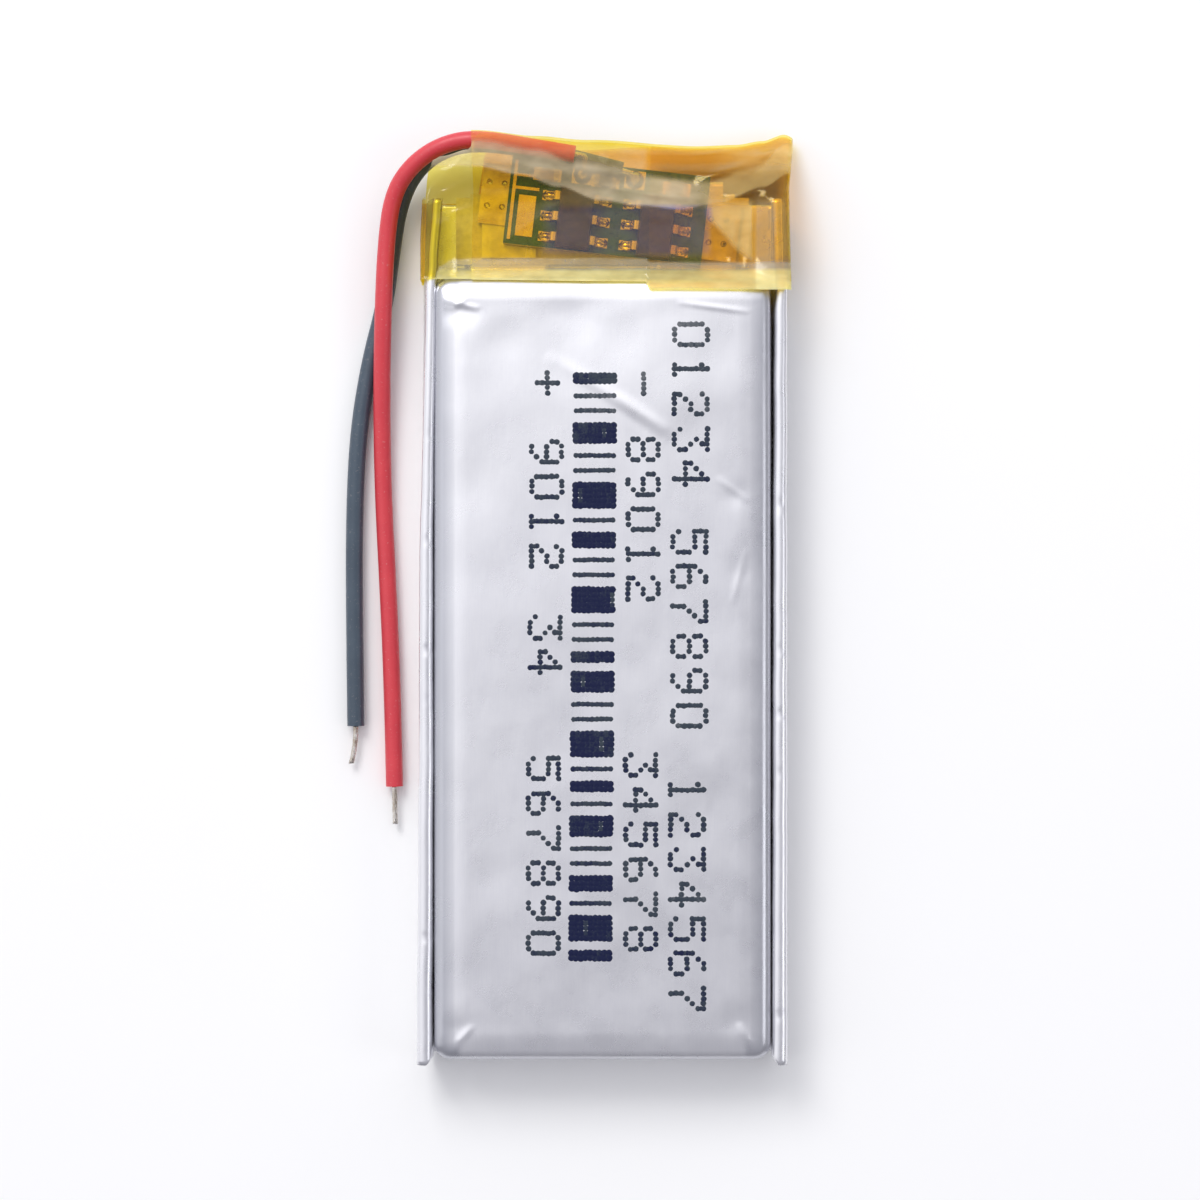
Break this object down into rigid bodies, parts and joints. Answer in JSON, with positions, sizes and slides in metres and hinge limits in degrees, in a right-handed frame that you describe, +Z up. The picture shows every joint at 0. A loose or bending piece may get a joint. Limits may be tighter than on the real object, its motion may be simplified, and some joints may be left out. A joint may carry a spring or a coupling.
{
  "type": "pouch battery cell",
  "caption": "Flat lithium polymer pouch cell with folded side seals, taped protection circuit and two thin free leads.",
  "frame": {"origin": "middle of the footprint on the surface the cell rests on, the free leads left out", "axes": "+X across the cell, +Y along it towards the taped circuit end, +Z up through its thickness out of the printed front"},
  "size_m": [0.0205, 0.043, 0.0035],
  "materials": {
    "pouch": "satin silver laminate foil, clear outer film",
    "electrode": "matt black coated aluminium foil",
    "electrode_copper": "matt graphite coated copper foil",
    "separator": "white porous film",
    "tape": "glossy amber polyimide film",
    "aluminium_tab": "bare rolled aluminium",
    "nickel": "rolled nickel",
    "tab_film": "milky polypropylene",
    "paper": "pale fibre paper",
    "board": "blue-green solder mask, semi-gloss",
    "gold_pads": "gold-plated copper",
    "package": "moulded epoxy",
    "resistor": "glazed ceramic",
    "capacitor": "fired ceramic",
    "solder": "bright solder",
    "red_insulation": "soft satin insulation",
    "black_insulation": "soft satin insulation",
    "tinned_copper": "tinned copper strands"
  },
  "bodies": {
    "root": {"pouch_cup": "pouch", "pouch_back": "pouch", "cathode_foil": "electrode", "anode_foil": "electrode_copper", "inner_separator": "separator", "outer_separator": "separator", "roll_closing_tape": "tape", "positive_tab": "aluminium_tab", "negative_tab": "nickel", "positive_tab_film": "tab_film", "negative_tab_film": "tab_film", "insulating_paper": "paper", "positive_nickel_plate": "nickel", "negative_nickel_plate": "nickel", "circuit_board": "board", "board_copper": "gold_pads", "protection_ic_body": "package", "protection_ic_leads": "gold_pads", "mosfet_body": "package", "mosfet_leads": "gold_pads", "overcurrent_resistor": "resistor", "supply_resistor": "resistor", "filter_capacitor": "capacitor", "chip_end_caps": "solder", "tape_first_turn": "tape", "tape_second_turn": "tape", "positive_lead": "red_insulation", "negative_lead": "black_insulation", "positive_lead_tip": "tinned_copper", "negative_lead_tip": "tinned_copper", "positive_lead_inner_end": "tinned_copper", "negative_lead_inner_end": "tinned_copper", "positive_solder_joint": "solder", "negative_solder_joint": "solder"}
  },
  "joints": []
}
